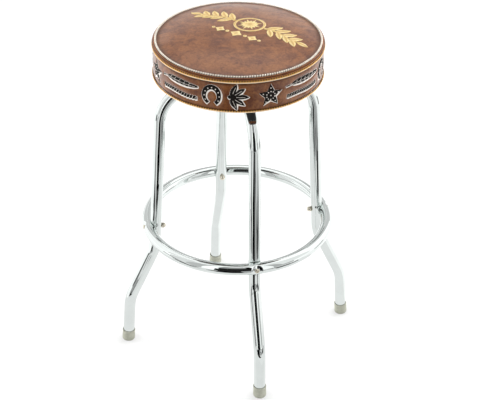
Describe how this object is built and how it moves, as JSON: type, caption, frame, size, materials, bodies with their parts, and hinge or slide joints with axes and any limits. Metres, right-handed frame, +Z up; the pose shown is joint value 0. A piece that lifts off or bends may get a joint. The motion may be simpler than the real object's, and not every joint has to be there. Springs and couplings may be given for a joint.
{
  "type": "bar stool",
  "caption": "Backless swivel bar stool: a round padded seat with piped and laced edge, on a tubular frame with splayed feet and a foot ring.",
  "frame": {"origin": "on the floor, under the middle of the seat", "axes": "+Z up along the swivel's axis; the legs stand on +X, -X, +Y and -Y, and the leg on -Y is the front one"},
  "size_m": [0.5392, 0.5392, 0.762],
  "materials": {
    "chrome": "polished",
    "zinc_steel": "satin",
    "brass_cage": "satin",
    "brown_vinyl": "satin",
    "gold_piping": "satin",
    "cream_thread": "matte",
    "foam": "matte",
    "plywood": "matte",
    "black_cloth": "matte",
    "foot_vinyl": "matte"
  },
  "bodies": {
    "frame": {"foot_cap_back": "foot_vinyl", "foot_cap_front": "foot_vinyl", "foot_cap_left": "foot_vinyl", "foot_cap_right": "foot_vinyl", "foot_ring": "chrome", "leg_hoop_front_back": "chrome", "leg_hoop_left_right": "chrome", "plate_bolt_back": "zinc_steel", "plate_bolt_front": "zinc_steel", "plate_bolt_left": "zinc_steel", "plate_bolt_right": "zinc_steel", "plate_nut_back": "zinc_steel", "plate_nut_front": "zinc_steel", "plate_nut_left": "zinc_steel", "plate_nut_right": "zinc_steel", "ring_bolt_back": "chrome", "ring_bolt_front": "chrome", "ring_bolt_left": "chrome", "ring_bolt_right": "chrome", "ring_cap_nut_back": "chrome", "ring_cap_nut_front": "chrome", "ring_cap_nut_left": "chrome", "ring_cap_nut_right": "chrome", "swivel_lower_plate": "zinc_steel", "swivel_rivet": "zinc_steel"},
    "bearing": {"ball_cage": "brass_cage", "bearing_ball_01": "zinc_steel", "bearing_ball_02": "zinc_steel", "bearing_ball_03": "zinc_steel", "bearing_ball_04": "zinc_steel", "bearing_ball_05": "zinc_steel", "bearing_ball_06": "zinc_steel", "bearing_ball_07": "zinc_steel", "bearing_ball_08": "zinc_steel"},
    "seat": {"bottom_piping": "gold_piping", "cover_staple_1": "zinc_steel", "cover_staple_2": "zinc_steel", "cover_staple_3": "zinc_steel", "cover_staple_4": "zinc_steel", "cover_staple_5": "zinc_steel", "cover_staple_6": "zinc_steel", "cover_staple_7": "zinc_steel", "cover_staple_8": "zinc_steel", "dust_cover": "black_cloth", "edge_lacing": "cream_thread", "foam_pad": "foam", "rim_welt": "brown_vinyl", "seat_board": "plywood", "seat_screw_back": "zinc_steel", "seat_screw_front": "zinc_steel", "seat_screw_left": "zinc_steel", "seat_screw_right": "zinc_steel", "seat_side_band": "brown_vinyl", "seat_top_panel": "brown_vinyl", "swivel_upper_plate": "zinc_steel", "top_piping": "gold_piping"}
  },
  "joints": [
    {"name": "seat_swivel", "type": "hinge", "parent": "frame", "child": "seat", "pos_m": [0, 0, 0.66455], "axis": [0, 0, 1], "continuous": true},
    {"name": "bearing_roll", "type": "hinge", "parent": "frame", "child": "bearing", "pos_m": [0, 0, 0.66455], "axis": [0, 0, 1], "continuous": true}
  ],
  "couplings": [
    {"joint": "bearing_roll", "follows": "seat_swivel", "ratio": 0.5}
  ]
}
